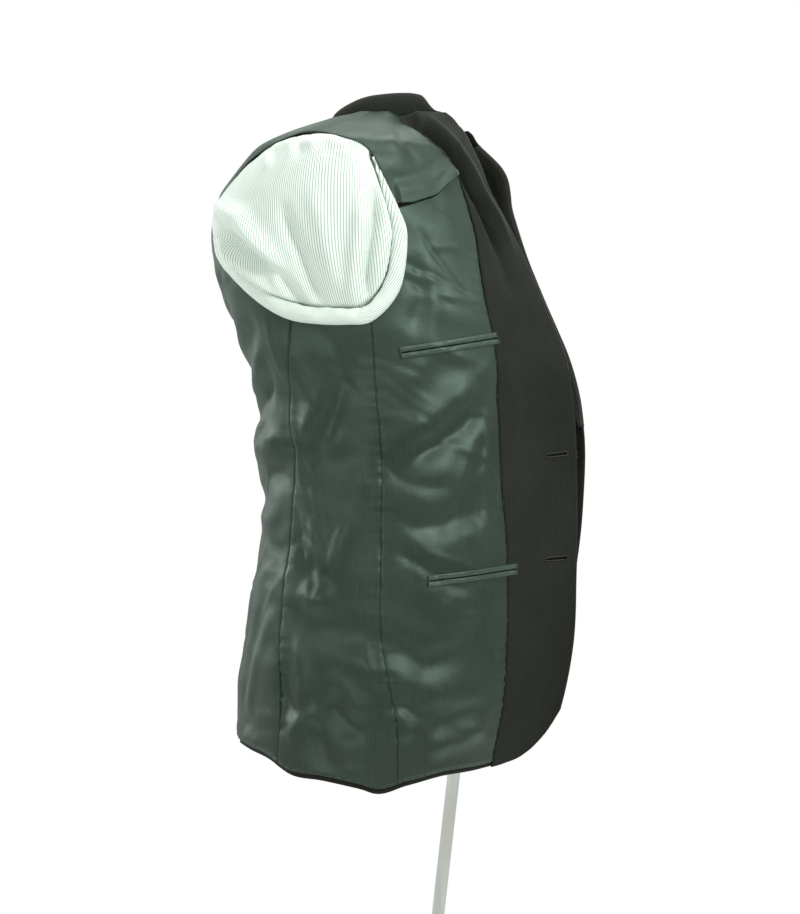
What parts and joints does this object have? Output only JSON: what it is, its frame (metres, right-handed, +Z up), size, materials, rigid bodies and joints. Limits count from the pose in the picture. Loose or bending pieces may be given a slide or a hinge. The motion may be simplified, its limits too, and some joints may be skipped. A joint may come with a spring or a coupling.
{
  "type": "suit jacket on dress form",
  "caption": "Suit jacket turned inside out, with its lining, inner pockets and sleeves tucked in, worn open on a limbless dress form that stands on a pole and a round base.",
  "frame": {"origin": "centre of the round base's underside, on the floor", "axes": "+Z up; the jacket's front faces -Y; its left front, with the buttonholes, is at -X"},
  "size_m": [0.4206, 0.4031, 1.5051],
  "materials": {
    "facing_left": "dark ribbed wool, matt",
    "facing_right": "dark ribbed wool, matt",
    "lapel_left": "dark ribbed wool, matt",
    "lapel_right": "dark ribbed wool, matt",
    "front_lining_left": "dark green-grey satin lining",
    "front_lining_right": "dark green-grey satin lining",
    "front_yoke_lining_left": "dark green-grey satin lining",
    "front_yoke_lining_right": "dark green-grey satin lining",
    "side_lining_left": "dark green-grey satin lining",
    "side_lining_right": "dark green-grey satin lining",
    "back_lining_left": "dark green-grey satin lining",
    "back_lining_right": "dark green-grey satin lining",
    "hem_left": "dark ribbed wool, matt",
    "hem_right": "dark ribbed wool, matt",
    "under_sleeve_left": "white sleeve lining with thin grey-green stripes",
    "under_sleeve_right": "white sleeve lining with thin grey-green stripes",
    "top_sleeve_left": "white sleeve lining with thin grey-green stripes",
    "top_sleeve_right": "white sleeve lining with thin grey-green stripes",
    "collar": "dark ribbed wool, matt",
    "upper_pocket_upper_jet": "dark green-grey satin lining",
    "upper_pocket_lower_jet": "dark green-grey satin lining",
    "lower_pocket_upper_jet": "dark green-grey satin lining",
    "lower_pocket_lower_jet": "dark green-grey satin lining",
    "upper_buttonhole": "dark ribbed wool, matt",
    "lower_buttonhole": "dark ribbed wool, matt",
    "upper_button": "dark horn-look plastic",
    "lower_button": "dark horn-look plastic",
    "dress_form": "plain stretched cover over a firm form",
    "stand_pole": "bright plated tube",
    "stand_socket": "bright plated tube",
    "stand_base": "bright plated steel disc"
  },
  "bodies": {
    "root": {"facing_left": "facing_left", "facing_right": "facing_right", "lapel_left": "lapel_left", "lapel_right": "lapel_right", "front_lining_left": "front_lining_left", "front_lining_right": "front_lining_right", "front_yoke_lining_left": "front_yoke_lining_left", "front_yoke_lining_right": "front_yoke_lining_right", "side_lining_left": "side_lining_left", "side_lining_right": "side_lining_right", "back_lining_left": "back_lining_left", "back_lining_right": "back_lining_right", "hem_left": "hem_left", "hem_right": "hem_right", "under_sleeve_left": "under_sleeve_left", "under_sleeve_right": "under_sleeve_right", "top_sleeve_left": "top_sleeve_left", "top_sleeve_right": "top_sleeve_right", "collar": "collar", "upper_pocket_upper_jet": "upper_pocket_upper_jet", "upper_pocket_lower_jet": "upper_pocket_lower_jet", "lower_pocket_upper_jet": "lower_pocket_upper_jet", "lower_pocket_lower_jet": "lower_pocket_lower_jet", "upper_buttonhole": "upper_buttonhole", "lower_buttonhole": "lower_buttonhole", "upper_button": "upper_button", "lower_button": "lower_button", "dress_form": "dress_form", "stand_pole": "stand_pole", "stand_socket": "stand_socket", "stand_base": "stand_base"}
  },
  "joints": []
}
